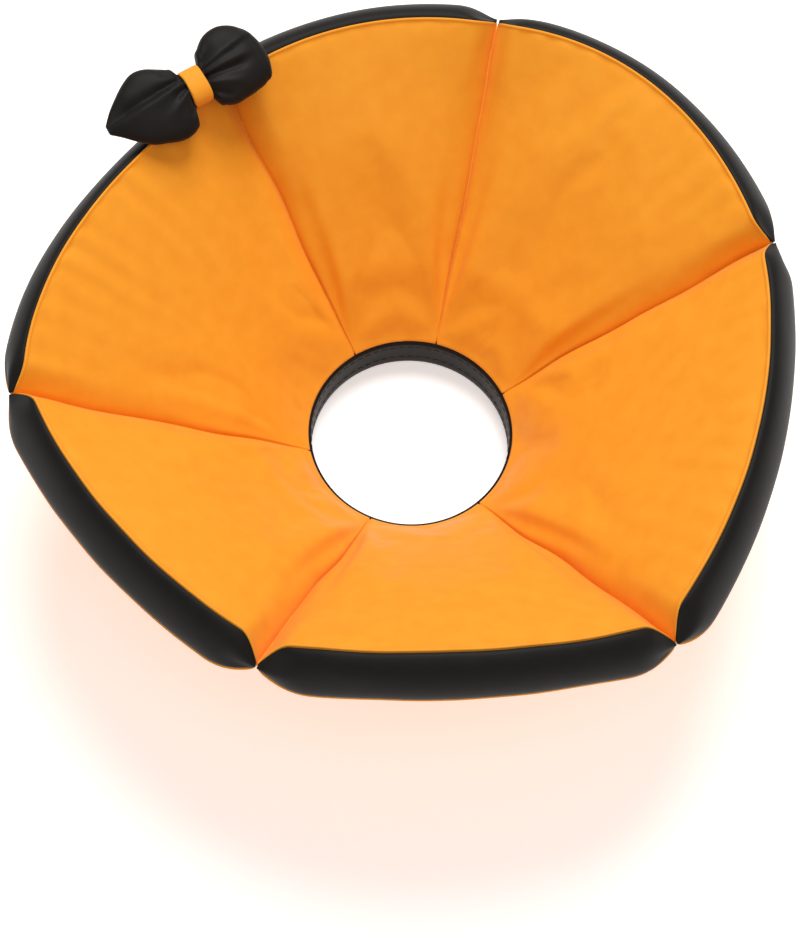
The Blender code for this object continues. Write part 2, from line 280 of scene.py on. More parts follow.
class Meshes:
    """Helpers that turn grids of points into objects."""

    @staticmethod
    def closed_tube(name: str, grid: np.ndarray, uv: np.ndarray) -> bpy.types.Object:
        """Makes a closed skin from sections that each go once round, capped at both ends.

        Args:
            name: The object's name.
            grid: Points as sections x points x 3; every section is a closed loop.
            uv: The cloth's own coordinates of each point, in metres.

        Returns:
            The object, linked to the scene.
        """
        sections, count, _ = grid.shape
        faces = Meshes.sides(sections, count, sections - 1)
        for start, flip in ((0, True), ((sections - 1) * count, False)):
            for j in range(count // 2 - 1):
                quad = (start + j, start + j + 1, start + count - 2 - j, start + count - 1 - j)
                faces.append(quad[::-1] if flip else quad)
            if count % 2:
                middle = count // 2
                faces.append((start + middle - 1, start + middle, start + middle + 1))
        return Meshes.made(name, grid.reshape(-1, 3), faces, uv)

    @staticmethod
    def ring(name: str, grid: np.ndarray, uv: np.ndarray) -> bpy.types.Object:
        """Makes a closed ring from sections that follow one another all the way round.

        Args:
            name: The object's name.
            grid: Points as sections x points x 3; every section is a closed loop.
            uv: The cloth's own coordinates of each point, in metres.

        Returns:
            The object, linked to the scene.
        """
        sections, count, _ = grid.shape
        faces = Meshes.sides(sections, count, sections)
        return Meshes.made(name, grid.reshape(-1, 3), faces, uv)

    @staticmethod
    def sides(sections: int, count: int, bands: int) -> list[tuple[int, int, int, int]]:
        """Returns the faces of the first bands between sections, each a loop of count points."""
        faces = []
        for i in range(bands):
            ahead = (i + 1) % sections * count
            for j in range(count):
                k = (j + 1) % count
                faces.append((i * count + j, i * count + k, ahead + k, ahead + j))
        return faces

    @staticmethod
    def made(name: str, verts: np.ndarray, faces: list, uv: np.ndarray) -> bpy.types.Object:
        """Returns an object from points, faces and cloth coordinates, one for each point."""
        mesh = bpy.data.meshes.new(name)
        mesh.from_pydata(verts.tolist(), [], faces)
        layer = mesh.uv_layers.new(name="cloth")
        index = np.empty(len(mesh.loops), dtype=np.int32)
        mesh.loops.foreach_get("vertex_index", index)
        layer.data.foreach_set("uv", uv.reshape(-1, 2)[index].ravel())
        return Meshes.linked(name, mesh)

    @staticmethod
    def linked(name: str, mesh: bpy.types.Mesh) -> bpy.types.Object:
        """Returns an object for the mesh, with outward faces and smooth shading."""
        bm = bmesh.new()
        bm.from_mesh(mesh)
        bmesh.ops.recalc_face_normals(bm, faces=bm.faces)
        bm.to_mesh(mesh)
        bm.free()
        mesh.shade_smooth()
        return placed(name, mesh)

    @staticmethod
    def points(mesh: bpy.types.Mesh) -> np.ndarray:
        """Returns the mesh's points as points x 3."""
        places = np.empty(len(mesh.vertices) * 3)
        mesh.vertices.foreach_get("co", places)
        return places.reshape(-1, 3)

    @staticmethod
    def move(mesh: bpy.types.Mesh, points: np.ndarray) -> None:
        """Puts the mesh's points at new places."""
        mesh.vertices.foreach_set("co", points.ravel())
        mesh.update()

    @staticmethod
    def smooth(obj: bpy.types.Object, levels: int = 1) -> None:
        """Adds a subdivision surface that renders as it shows."""
        modifier = obj.modifiers.new("soft", "SUBSURF")
        modifier.levels = levels
        modifier.render_levels = levels

    @staticmethod
    def finish(
        obj: bpy.types.Object,
        material: bpy.types.Material,
        slot: Slot,
        nodes: Sequence[str] = (),
        fill: float | None = None,
    ) -> None:
        """Gives a piece its material, hangs it on its body and hides the CAD nodes that it stands for.

        Args:
            obj: The piece.
            material: Its finish.
            slot: The record's slot for its finish; not used.
            nodes: The CAD nodes that it stands for.
            fill: How full a padded piece is, from 0 to 1; not used.
        """
        obj.data.materials.clear()
        obj.data.materials.append(material)
        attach(obj, BODY)
        if nodes:
            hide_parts(*nodes)
        LOG.info("%s: %d points", obj.name, len(obj.data.vertices))


# Cone of padded panels


@dataclass(frozen=True)
class Cone:
    """The cone that the panels are sewn into, in metres."""

    neck_radius: float = 0.050
    neck_height: float = 0.0203
    half_angle: float = math.radians(53)
    depth: float = 0.155
    gap: float = 0.0003

    @property
    def rim_radius(self) -> float:
        """The radius of the seams' ends, before each seam's own reach."""
        return self.neck_radius + self.depth * math.sin(self.half_angle)

    @property
    def rim_height(self) -> float:
        """The height of the seams' ends."""
        return self.neck_height + self.depth * math.cos(self.half_angle)

    def normals(self, points: np.ndarray) -> np.ndarray:
        """Returns the round cone's normals at points, towards its axis and up."""
        inward = unit(-points * (1.0, 1.0, 0.0))
        up = np.array((0.0, 0.0, 1.0))
        return inward * math.cos(self.half_angle) + up * math.sin(self.half_angle)


CONE = Cone()


@dataclass(frozen=True)
class Seam:
    """One seam between two panels: its direction at the rim and at the neck, and its reach.

    A seam guided by hand wanders aside, and pulls the cloth beside it along.
    """

    rim_deg: float
    neck_deg: float
    reach: float
    wander: float = 0.0022
    wander_per_metre: float = 26.0
    wander_pull: float = 0.010
    straight_end: float = 0.02

    def points(self, v: np.ndarray) -> np.ndarray:
        """Returns points of the seam, v being 0 at the neck and 1 at the rim."""
        neck = self._polar(CONE.neck_radius, self.neck_deg, CONE.neck_height)
        rim = self._polar(CONE.rim_radius * self.reach, self.rim_deg, CONE.rim_height)
        return neck + (rim - neck) * np.asarray(v, float)[..., None]

    def across(self) -> np.ndarray:
        """Returns the direction across the seam, along the collar."""
        along = unit(self.points(1.0) - self.points(0.0))
        return unit(np.cross(CONE.normals(self.points(0.5)), along))

    def waver(self, points: np.ndarray) -> np.ndarray:
        """Returns how far the seam's wandering pulls cloth near it aside, at points x 3."""
        start = self.points(0.0)
        run = self.points(1.0) - start
        length = np.linalg.norm(run)
        reach = (points - start) @ run / length
        near = bump((points - start) @ self.across(), self.wander_pull)
        aside = uneven(reach * self.wander_per_metre, self.rim_deg, 5.5)
        fade = ease(reach / self.straight_end) * ease((length - reach) / self.straight_end)
        return self.across() * (self.wander * aside * near * fade)[:, None]

    @staticmethod
    def _polar(radius: float, degrees: float, height: float) -> np.ndarray:
        """Returns a point by its radius, direction and height."""
        angle = math.radians(degrees)
        return np.array((radius * math.cos(angle), radius * math.sin(angle), height))


SEAMS = (
    Seam(21.0, 28.0, 0.991),
    Seam(79.9, 78.0, 1.014),
    Seam(126.0, 126.0, 0.956),
    Seam(191.2, 195.0, 1.042),
    Seam(248.9, 250.0, 0.964),
    Seam(310.9, 314.0, 1.034),
)


# The rolled lip at the rim seam, outwards and up from the panel's end, as shares of the lip's size
LIP_PROFILE = ((-1.3, 0.0), (-0.7, 0.55), (0.1, 0.75), (0.85, 0.3), (0.9, -0.5), (0.1, -1.1))


@dataclass
class PaddedPanel:
    """One padded panel of the cone and the black strip round its wide end.

    Roundness, arc, lean, padding and puff are the panel's own shares, as in the part. Pucker is how
    much cloth is gathered into its rim seam, as a share of pucker_depth. The plain last numbers
    given to uneven only keep the patterns apart.
    """

    name: str
    low: Seam
    high: Seam
    roundness: float
    arc: float
    lean: float
    padding: float
    puff: float
    pucker: float = 1.0
    full_thickness: float = 0.026
    neck_thickness: float = 0.0036
    seam_thickness: float = 0.003
    seam_roll: float = 0.019
    neck_roll: float = 0.042
    neck_turn: float = 0.022
    rim_arc: float = 0.0175
    rim_puff: float = 0.0044
    strip_wall: float = 0.001
    strip_tip: float = 0.0003
    rim_tight: float = 0.6
    rim_wander: float = 0.0008
    seam_clearance: float = 0.00006
    crown_roll: float = 0.044
    crown_share: float = 0.65
    seam_hold: float = 0.0016
    groove: float = 0.0013
    groove_floor: float = 0.2
    lip: float = 0.0008
    seam_steps: tuple[float, ...] = (0.0, 0.25, 0.6, 1.1, 1.8, 3.0, 4.4, 6.2, 8.2, 10.4, 12.8, 15.6, 19.0)
    rim_steps: tuple[float, ...] = (2.2, 3.2, 4.4, 6.0, 8.0)
    column_step: float = 0.0026
    row_step: float = 0.0027
    pucker_depth: float = 0.00055
    pucker_spacing: float = 0.0135
    pucker_reach: float = 0.030
    pucker_spread: float = 0.014
    back_folds: float = 0.6
    gather_depth: float = 0.0009
    gather_place: float = 0.008
    gather_width: float = 0.007
    unevenness: float = 0.00035
    strip_depth: float = 0.013
    width: float = field(init=False)
    seed: float = field(init=False)

    def __post_init__(self) -> None:
        """Measures the panel's wide end."""
        self.width = float(np.linalg.norm(self.high.points(1.0) - self.low.points(1.0)))
        self.seed = self.low.rim_deg

    # The panel's middle surface and thickness

    def _across(self, u: np.ndarray, v: np.ndarray) -> np.ndarray:
        """Returns the share between the seams that leaves half the clearance at each of them."""
        width = np.linalg.norm(self.high.points(v) - self.low.points(v), axis=-1)
        edge = CONE.gap / 2 / width
        return mix(edge, 1 - edge, u)

    def middle(self, u: np.ndarray, v: np.ndarray) -> np.ndarray:
        """Returns points of the middle surface, u across and v from the neck to the rim."""
        low, high = self.low.points(v), self.high.points(v)
        share = self._across(u, v)[..., None]
        flat = mix(low, high, share)
        start = np.arctan2(low[..., 1], low[..., 0])
        turn = (np.arctan2(high[..., 1], high[..., 0]) - start) % math.tau
        angle = start + turn * share[..., 0]
        low_radius = np.linalg.norm(low[..., :2], axis=-1)
        high_radius = np.linalg.norm(high[..., :2], axis=-1)
        radius = mix(low_radius, high_radius, share[..., 0])
        curved = np.stack((radius * np.cos(angle), radius * np.sin(angle), flat[..., 2]), axis=-1)
        roundness = mix(1.0, self.roundness, ease(v / 0.5))[..., None]
        run = sum(seam.points(1.0) - seam.points(0.0) for seam in (self.low, self.high))
        arc = unit(run) * (self.arc * self.rim_arc * 4 * share * (1 - share)) * (v * v)[..., None]
        lean = 1 + self.lean * (2 * share - 1) * v[..., None]
        return flat + ((curved - flat) * roundness + arc) * lean

    def normal(self, u: np.ndarray, v: np.ndarray) -> np.ndarray:
        """Returns the directions of the padding's thickness."""
        low, high = CONE.normals(self.low.points(v)), CONE.normals(self.high.points(v))
        near = np.where((u < 0.5)[..., None], low, high)
        flat = mix(near, unit(low + high), ease(np.minimum(u, 1 - u) / 0.2)[..., None])
        curved = mix(low, high, u[..., None])
        direction = unit(mix(flat, curved, min(self.roundness, 1.0)))
        level = unit(-self.middle(u, v) * (1.0, 1.0, 0.0))
        return unit(mix(level, direction, ease(v * CONE.depth / self.neck_turn)[..., None]))

    def slant(self, u: np.ndarray) -> np.ndarray:
        """Returns the directions in which the panel runs out at the rim."""
        rim, inner = np.full_like(u, 1.0), np.full_like(u, 0.86)
        return unit(self.middle(u, rim) - self.middle(u, inner))

    def roll(self, u: np.ndarray) -> np.ndarray:
        """Returns how far the padding has risen from the seams."""
        distance = np.minimum(u, 1 - u) * self.width
        return np.sin(math.pi / 2 * np.minimum(distance / self.seam_roll, 1.0))

    def half_thickness(self, u: np.ndarray, v: np.ndarray, front: bool = True) -> np.ndarray:
        """Returns half the panel's thickness.

        Args:
            u: The share across the panel.
            v: The share of its depth.
            front: Whether it is the side that looks into the cone, whose cloth rolls into the seam
                more tightly towards the rim.

        Returns:
            The distance from the middle surface to the cloth.
        """
        neck = self.neck_thickness / 2
        full = mix(neck, self.full_thickness * self.padding / 2, ease(v * CONE.depth / self.neck_roll))
        seam = mix(neck, self.seam_thickness / 2, ease(v))
        tight = mix(1.0, self.rim_tight if front else 1.15, ease((v - 0.55) / 0.4))
        distance = np.minimum(u, 1 - u) * self.width
        steep = np.sin(math.pi / 2 * np.minimum(distance / self.seam_roll / tight, 1.0))
        crown = np.sin(math.pi / 2 * np.minimum(distance / self.crown_roll, 1.0))
        roll = mix(crown, steep, mix(self.crown_share, 1.0, ease((v - 0.7) / 0.3)))
        seam = seam * mix(self.groove_floor, 1.0, np.minimum(distance / self.groove, 1.0) ** 0.6)
        wander = uneven(u * self.width * 38, self.seed, 9.4)
        wander = wander * self.rim_wander * ease((v - 0.85) / 0.15) * ease(distance / 0.012)
        return mix(seam, full, roll) + wander

    def puff_out(self, u: np.ndarray) -> np.ndarray:
        """Returns how far the strip's outer face stands out of the rim."""
        return self.rim_puff * self.puff * self.roll(u) ** 2 + self.strip_wall + 2 * CONE.gap

    def _wide_end(self, u: np.ndarray) -> tuple[np.ndarray, np.ndarray, np.ndarray, tuple]:
        """Returns the rim's middle line, its directions out and up, and half thicknesses."""
        rim = np.ones_like(u)
        halves = self.half_thickness(u, rim), self.half_thickness(u, rim, front=False)
        return self.middle(u, rim), self.slant(u), self.normal(u, rim), halves

    # The cover

    def _columns(self) -> np.ndarray:
        """Returns the shares across the panel where its cloth has points, close beside the seams."""
        near = np.array(self.seam_steps) * MM / self.width
        count = int((self.width - 2 * self.seam_steps[-1] * MM) / self.column_step)
        middle = np.linspace(near[-1], 1 - near[-1], count + 1)[1:-1]
        return np.concatenate((near, middle, 1 - near[::-1]))

    def _rows(self) -> np.ndarray:
        """Returns the shares of the depth where the faces have points, close beside the rim."""
        last = 1 - np.array(self.rim_steps[::-1]) * MM / CONE.depth
        count = int(last[0] * CONE.depth / self.row_step)
        return np.concatenate((np.linspace(0.0, last[0], count + 1)[:-1], last))

    def _cover_grid(self) -> tuple[np.ndarray, np.ndarray, np.ndarray]:
        """Works out the cover before it is filled.

        Returns:
            The points as columns x loop x 3, their cloth coordinates, and how freely each one moves.
        """
        columns, rows = self._columns(), self._rows()
        u, v = np.meshgrid(columns, rows, indexing="ij")
        middle, normal = self.middle(u, v), self.normal(u, v)
        front = middle + normal * self.half_thickness(u, v)[..., None]
        back = middle - normal * self.half_thickness(u, v, front=False)[..., None]
        centre, out, rise, halves = self._wide_end(columns)
        end = []
        for side, end_half in zip((1, -1), halves):
            bead = []
            lip = self.lip * np.minimum(end_half / (5 * self.lip), 1.0)
            for along, up in LIP_PROFILE:
                lift = (end_half + lip * up) * side
                bead.append(centre + rise * lift[:, None] + out * (lip * along)[:, None])
            end.append(bead if side == 1 else bead[::-1])
        inset = self.strip_wall + CONE.gap + 1.2 * self.lip
        arc = []
        for angle in np.linspace(0, math.pi, 9)[1:-1]:
            end_half = halves[0] if angle < math.pi / 2 else halves[1]
            height = (end_half - np.minimum(inset, end_half / 2)) * math.cos(angle)
            reach = (self.puff_out(columns) - self.strip_wall - CONE.gap) * math.sin(angle)
            arc.append(centre + rise * height[:, None] + out * reach[:, None])
        rim = np.stack(end[0] + arc + end[1], axis=1)
        grid = np.concatenate((front, rim, back[:, ::-1]), axis=1)
        depth = v * CONE.depth
        rim_depth = CONE.depth + np.arange(rim.shape[1]) * 2 * MM
        rim_depth = np.broadcast_to(rim_depth, rim.shape[:2])
        along = np.concatenate((depth, rim_depth, depth[:, ::-1]), axis=1)
        span = np.linalg.norm(self.high.points(rows) - self.low.points(rows), axis=-1)
        sideways = (u - 0.5) * span
        edge = (columns - 0.5) * self.width
        rim_side = np.broadcast_to(edge[:, None], rim.shape[:2])
        uv = np.stack((np.concatenate((sideways, rim_side, sideways[:, ::-1]), axis=1), along), axis=-1)
        clear_of_seam = np.minimum(u, 1 - u) * self.width > self.seam_hold
        free = clear_of_seam & (v * CONE.depth > 4 * MM) & (v < last_free(self.rim_steps))
        held = np.zeros(rim.shape[:2], bool)
        loose = np.concatenate((free, held, free[:, ::-1]), axis=1)
        return grid, uv, loose

    def _puckers(self, u: np.ndarray, v: np.ndarray) -> np.ndarray:
        """Returns the depth of the soft folds that the rim seam gathers into the cloth."""
        across = u * self.width
        inward = (1 - v) * CONE.depth
        warp = uneven(across * 18 + self.seed, inward * 9, 0.3)
        height = uneven(across * 45, self.seed, 2.7)
        wave = np.sin(math.tau * (across / self.pucker_spacing + 0.35 * warp))
        wave = wave * np.clip(0.75 + height, 0.1, 1.4)
        reach = self.pucker_reach + self.pucker_spread * uneven(across * 30, self.seed, 7.1)
        fade = np.exp(-inward / reach) * ease(inward / 0.003)
        fade = fade * ease(np.minimum(u, 1 - u) * self.width / 0.016)
        return wave * fade * self.pucker_depth * self.pucker

    def build_cover(self, material: bpy.types.Material) -> None:
        """Sews, fills and dresses the padded panel in the orange cloth."""
        grid, uv, loose = self._cover_grid()
        cover = Meshes.closed_tube(f"padded_cover_{self.name}", grid, uv)
        Filling().inflate(cover, loose.ravel())
        self._settle(cover, grid)
        Meshes.smooth(cover)
        Meshes.finish(cover, material, Slot.ORANGE, (f"panel_{self.name}",), fill=0.8)

    def _settle(self, cover: bpy.types.Object, grid: np.ndarray) -> None:
        """Adds the gathered folds and keeps the cover on its own side of both seams.

        Args:
            cover: The filled cover.
            grid: Its points before it was filled.
        """
        points = Meshes.points(cover.data).reshape(grid.shape)
        columns, rows = self._columns(), self._rows()
        u, v = np.meshgrid(columns, rows, indexing="ij")
        folds = self._puckers(u, v)[..., None] * self.normal(u, v)
        count = len(rows)
        points[:, :count] += folds
        points[:, -count:] -= self.back_folds * folds[:, ::-1]
        flat = points.reshape(-1, 3)
        for seam in (self.low, self.high):
            across = seam.across()
            half = np.array(0.5)
            across *= np.sign(np.dot(across, self.middle(half, half) - seam.points(0.5)))
            distance = (flat - seam.points(0.5)) @ across
            flat += across * np.maximum(self.seam_clearance - distance, 0)[:, None]
        for seam in (self.low, self.high):
            flat += seam.waver(flat)
        Meshes.move(cover.data, flat)

    # The edge strip

    def _strip_columns(self) -> np.ndarray:
        """Returns the shares across the panel where the strip has sections."""
        tip = self.strip_tip / self.width
        inner = self._columns()
        inner = inner[(inner > tip * 1.3) & (inner < 1 - tip * 1.3)]
        return np.concatenate(([tip], inner, [1 - tip]))

    def build_strip(self, material: bpy.types.Material) -> None:
        """Makes the strip of black cloth round the wide end, gathered where the seams pinch it."""
        columns = self._strip_columns()
        centre, out, rise, halves = self._wide_end(columns)
        loops, coords = [], []
        outside, inside = np.linspace(0, math.pi, 17), np.linspace(math.pi, 0, 9)
        for inset, angles in ((0.0, outside), (self.strip_wall, inside)):
            for angle in angles:
                half = halves[0] if angle < math.pi / 2 else halves[1]
                tuck = 1.05 * self.lip * np.minimum(half / (5 * self.lip), 1.0)
                height = (half - tuck - np.minimum(inset, half / 2)) * math.cos(angle)
                reach = (self.puff_out(columns) - inset) * math.sin(angle) + CONE.gap
                point = centre + rise * height[:, None] + out * reach[:, None]
                if inset == 0.0:
                    point = point + out * (self._gathers(columns, angle) * math.sin(angle))[:, None]
                loops.append(point)
                down = np.full_like(columns, angle * self.strip_depth)
                coords.append(np.stack((columns * self.width, down), -1))
        strip = Meshes.closed_tube(
            f"rim_binding_{self.name}", np.stack(loops, axis=1), np.stack(coords, axis=1)
        )
        Meshes.smooth(strip)
        Meshes.finish(strip, material, Slot.BLACK, (f"edge_strip_{self.name}",), fill=0.8)

    def _gathers(self, u: np.ndarray, angle: float) -> np.ndarray:
        """Returns the relief of the strip's cloth: folds out of each pinch and a soft unevenness."""
        distance = np.minimum(u, 1 - u) * self.width
        side = np.where(u < 0.5, 1.0, 2.0)
        fold = np.sin(angle * 3.0 + side * 1.7 + distance * 90)
        pinched = self.gather_depth * fold * bump(distance - self.gather_place, self.gather_width)
        relief = pinched + self.unevenness * uneven(u * self.width * 28, angle * 0.8, self.seed)
        return np.minimum(relief, self.strip_wall)


def last_free(rim_steps: Sequence[float]) -> float:
    """Returns the share of the depth past which the rim seam holds the cloth still."""
    return 1 - (rim_steps[0] + 0.1) * MM / CONE.depth


@dataclass
class Filling:
    """The filling that swells a sewn cover, as a cloth simulation whose result is kept."""

    pressure: float = 4.0
    frames: int = 16
    most: float = 0.0030
    slack: float = 0.002
    bending: float = 5.0

    def inflate(self, cover: bpy.types.Object, loose: np.ndarray) -> None:
        """Blows the cover up against its seams.

        Args:
            cover: The sewn cover, whose mesh takes the result.
            loose: Which of its points aren't held by a seam.
        """
        start = Meshes.points(cover.data)
        held = cover.vertex_groups.new(name="held")
        held.add(np.flatnonzero(~loose).tolist(), 1.0, "REPLACE")
        cloth = cover.modifiers.new("filling", "CLOTH")
        settings = cloth.settings
        settings.vertex_group_mass = held.name
        settings.quality = 4
        settings.use_pressure = True
        settings.uniform_pressure_force = self.pressure
        settings.shrink_min = self.slack
        settings.bending_stiffness = self.bending
        settings.effector_weights.gravity = 0.0
        scene = bpy.context.scene
        for number in range(1, self.frames + 1):
            scene.frame_set(number)
        evaluated = cover.evaluated_get(bpy.context.evaluated_depsgraph_get())
        moved = Meshes.points(evaluated.data) - start
        cover.modifiers.remove(cloth)
        scene.frame_set(1)
        length = np.linalg.norm(moved, axis=1, keepdims=True)
        moved *= np.minimum(1.0, self.most / np.maximum(length, 1e-9))
        Meshes.move(cover.data, start + moved)
        LOG.info("%s: filling moved it by %.2f mm on average", cover.name, length.mean() / MM)


PANELS = (
    PaddedPanel("upper_right", SEAMS[0], SEAMS[1], 1.15, 0.05, 0.12, 1.0, 0.65, pucker=1.0),
    PaddedPanel("top", SEAMS[1], SEAMS[2], 0.90, 0.12, 0.0, 1.0, 1.07, pucker=0.5),
    PaddedPanel("upper_left", SEAMS[2], SEAMS[3], 0.50, 0.35, 0.35, 0.80, 0.45, pucker=1.1),
    PaddedPanel("lower_left", SEAMS[3], SEAMS[4], 0.35, 0.48, 0.0, 1.0, 0.60, pucker=0.3),
    PaddedPanel("bottom", SEAMS[4], SEAMS[5], 0.0, 1.0, 0.0, 1.0, 1.0, pucker=0.3),
    PaddedPanel("right", SEAMS[5], SEAMS[0], 0.45, 0.36, 0.0, 1.0, 0.72, pucker=0.6),
)


@dataclass
class SeamAllowances:
    """The cloth turned in between the panels at each seam, which closes the seam."""

    half_width: float = 0.00045
    half_height: float = 0.0008
    steps: int = 60
    end: float = 0.006

    def build(self, material: bpy.types.Material) -> None:
        """Makes a closed narrow strip of orange cloth down each seam."""
        for number, seam in enumerate(SEAMS, 1):
            line = seam.points(np.linspace(self.end, 1 - self.end, self.steps))
            line = line + seam.waver(line)
            across, rise = seam.across(), CONE.normals(line)
            grid, coords = [], []
            for aside, up in ((-1, -1), (-1, 1), (1, 1), (1, -1)):
                grid.append(line + across * (self.half_width * aside) + rise * (self.half_height * up))
                shift = np.full(self.steps, aside * self.half_width)
                coords.append(np.stack((shift, np.linspace(0, CONE.depth, self.steps)), -1))
            tape = Meshes.closed_tube(
                f"seam_allowance_{number}", np.stack(grid, axis=1), np.stack(coords, axis=1)
            )
            Meshes.finish(tape, material, Slot.ORANGE)


# Neck band


@dataclass
class NeckBinding:
    """The plain cloth band that finishes the neck opening, with a row of topstitches."""

    radius: float = 0.048
    wall: float = 0.004
    height: float = 0.020
    edge: float = 0.0012
    stitch: float = 0.0032
    thread: float = 0.00022

    def build(self, cloth: bpy.types.Material, thread: bpy.types.Material) -> None:
        """Makes the band of black cloth and its stitches of black thread."""
        band = self._band()
        Meshes.finish(band, cloth, Slot.BLACK, ("neck_band",), fill=0.3)
        stitches = self._stitches(thread)
        Meshes.finish(stitches, thread, Slot.BLACK)

    def _band(self) -> bpy.types.Object:
        """Returns the band, a soft rounded profile turned about the axis."""
        corners = [
            (self.radius, self.edge),
            (self.radius + self.edge * 0.4, self.edge * 0.25),
            (self.radius + self.edge, 0.0),
            (self.radius + self.wall - self.edge, 0.0),
            (self.radius + self.wall - self.edge * 0.4, self.edge * 0.25),
            (self.radius + self.wall, self.edge),
        ]
        rows = np.linspace(0, 1, 9)
        outer = [(self.radius + self.wall, mix(self.edge, self.height, s)) for s in rows[1:]]
        inner = [(self.radius, mix(self.height, self.edge, s)) for s in rows[:-1]]
        profile = np.array(corners + outer + inner)
        turns = np.linspace(0, math.tau, 181)[:-1]
        grid = np.empty((len(turns), len(profile), 3))
        grid[..., 0] = np.cos(turns)[:, None] * profile[:, 0]
        grid[..., 1] = np.sin(turns)[:, None] * profile[:, 0]
        grid[..., 2] = profile[:, 1]
        count = len(profile)
        turn = np.repeat(turns * self.radius, count)
        round_profile = np.tile(np.arange(count) * 2 * MM, len(turns))
        return Meshes.ring("neck_binding", grid, np.stack((turn, round_profile), -1))

    def _stitches(self, material: bpy.types.Material) -> bpy.types.Object:
        """Returns a row of stitches round the band, laid by geometry nodes."""
        count = int(math.tau * self.radius / (self.stitch * 1.35))
        row = StitchRow("neck_topstitch", self.stitch, self.thread)
        lines = []
        for height in (0.3, 0.8):
            for radius in (self.radius - self.thread * 0.6, self.radius + self.wall + self.thread * 0.6):
                turns = np.linspace(0, math.tau, count * 2 + 1)[:-1]
                level = np.full_like(turns, self.height * height)
                lines.append(np.stack((np.cos(turns) * radius, np.sin(turns) * radius, level), -1))
        return row.build(lines, material, closed=True)


@dataclass
class StitchRow:
    """Rows of equal stitches along paths, made by geometry nodes."""

    name: str
    length: float
    thickness: float

    def build(
        self, lines: Iterable[np.ndarray], material: bpy.types.Material, closed: bool = False
    ) -> bpy.types.Object:
        """Lays stitches along the lines.

        Args:
            lines: The paths, each as points x 3.
            material: The thread.
            closed: Whether each path is a loop.

        Returns:
            The stitches as one plain mesh.
        """
        curve = bpy.data.curves.new(f"{self.name}_path", "CURVE")
        curve.dimensions = "3D"
        for points in lines:
            spline = curve.splines.new("POLY")
            spline.points.add(len(points) - 1)
            spline.points.foreach_set("co", np.c_[points, np.ones(len(points))].ravel())
            spline.use_cyclic_u = closed
        path = placed(f"{self.name}_path", curve)
        tree, sockets = self._tree(material)
        modifier = path.modifiers.new("stitches", "NODES")
        modifier.node_group = tree
        modifier[sockets["Spacing"]] = self.length * 1.35
        modifier[sockets["Length"]] = self.length
        modifier[sockets["Thickness"]] = self.thickness
        bpy.context.view_layer.update()
        evaluated = path.evaluated_get(bpy.context.evaluated_depsgraph_get())
        mesh = bpy.data.meshes.new_from_object(evaluated)
        mesh.name = self.name
        bpy.data.objects.remove(path)
        mesh.shade_smooth()
        return placed(self.name, mesh)

    def _tree(self, material: bpy.types.Material) -> tuple[bpy.types.NodeTree, dict[str, str]]:
        """Returns the stitch-laying node tree and the identifiers of its sizes."""
        tree = bpy.data.node_groups.new(f"{self.name}_stitches", "GeometryNodeTree")
        face = tree.interface
        face.new_socket("Path", in_out="INPUT", socket_type="NodeSocketGeometry")
        sockets = {}
        for name in ("Spacing", "Length", "Thickness"):
            made = face.new_socket(name, in_out="INPUT", socket_type="NodeSocketFloat")
            sockets[name] = made.identifier
        face.new_socket("Stitches", in_out="OUTPUT", socket_type="NodeSocketGeometry")
        given = add_node(tree, "NodeGroupInput").outputs
        points = add_node(
            tree,
            "GeometryNodeCurveToPoints",
            {"Curve": given["Path"], "Length": given["Spacing"]},
            mode="LENGTH",
        )
        half = add_node(tree, "ShaderNodeMath", {0: given["Length"], 1: 0.5}, operation="MULTIPLY")
        size = add_node(
            tree,
            "ShaderNodeCombineXYZ",
            {"X": given["Thickness"], "Y": given["Thickness"], "Z": half.outputs[0]},
        )
        rounding = {"Segments": 8, "Rings": 6, "Radius": 1.0}
        bead = add_node(tree, "GeometryNodeMeshUVSphere", rounding)
        laid = add_node(
            tree,
            "GeometryNodeInstanceOnPoints",
            {
                "Points": points.outputs["Points"],
                "Instance": bead.outputs["Mesh"],
                "Rotation": points.outputs["Rotation"],
                "Scale": size.outputs["Vector"],
            },
        )
        real = add_node(tree, "GeometryNodeRealizeInstances", {"Geometry": laid.outputs["Instances"]})
        done = add_node(
            tree,
            "GeometryNodeSetMaterial",
            {"Geometry": real.outputs["Geometry"], "Material": material},
        )
        add_node(tree, "NodeGroupOutput", {"Stitches": done.outputs["Geometry"]})
        return tree, sockets


# Bow


class Wing(Enum):
    """The two wings of the bow, by the side of the knot that they lie on."""

    LEFT = -1
    RIGHT = 1


@dataclass(frozen=True)
class Fold:
    """One pleat that runs out from the knot, in millimetres along and across the bow.

    A positive height is a ridge and a negative one a crease. It falls off within below on the side
    of the lower edge, and within above on the other.
    """

    start: tuple[float, float]
    end: tuple[float, float]
    height: float
    above: float
    below: float

    def relief(self, along: np.ndarray, across: np.ndarray) -> np.ndarray:
        """Returns the fold's height at points of the bow, in metres."""
        start, end = np.array(self.start), np.array(self.end)
        run = end - start
        length = np.linalg.norm(run)
        run = run / length
        x, y = along / MM - start[0], across / MM - start[1]
        share = (x * run[0] + y * run[1]) / length
        aside = x * -run[1] + y * run[0]
        if run[0] < 0:
            aside = -aside
        widen = 0.45 + 0.75 * np.clip(share, 0, 1)
        reach = np.where(aside > 0, self.above, self.below) * widen
        fade = ease((share + 0.25) / 0.3) * ease((1.12 - share) / 0.4)
        return self.height * MM * np.exp(-((aside / reach) ** 2)) * fade


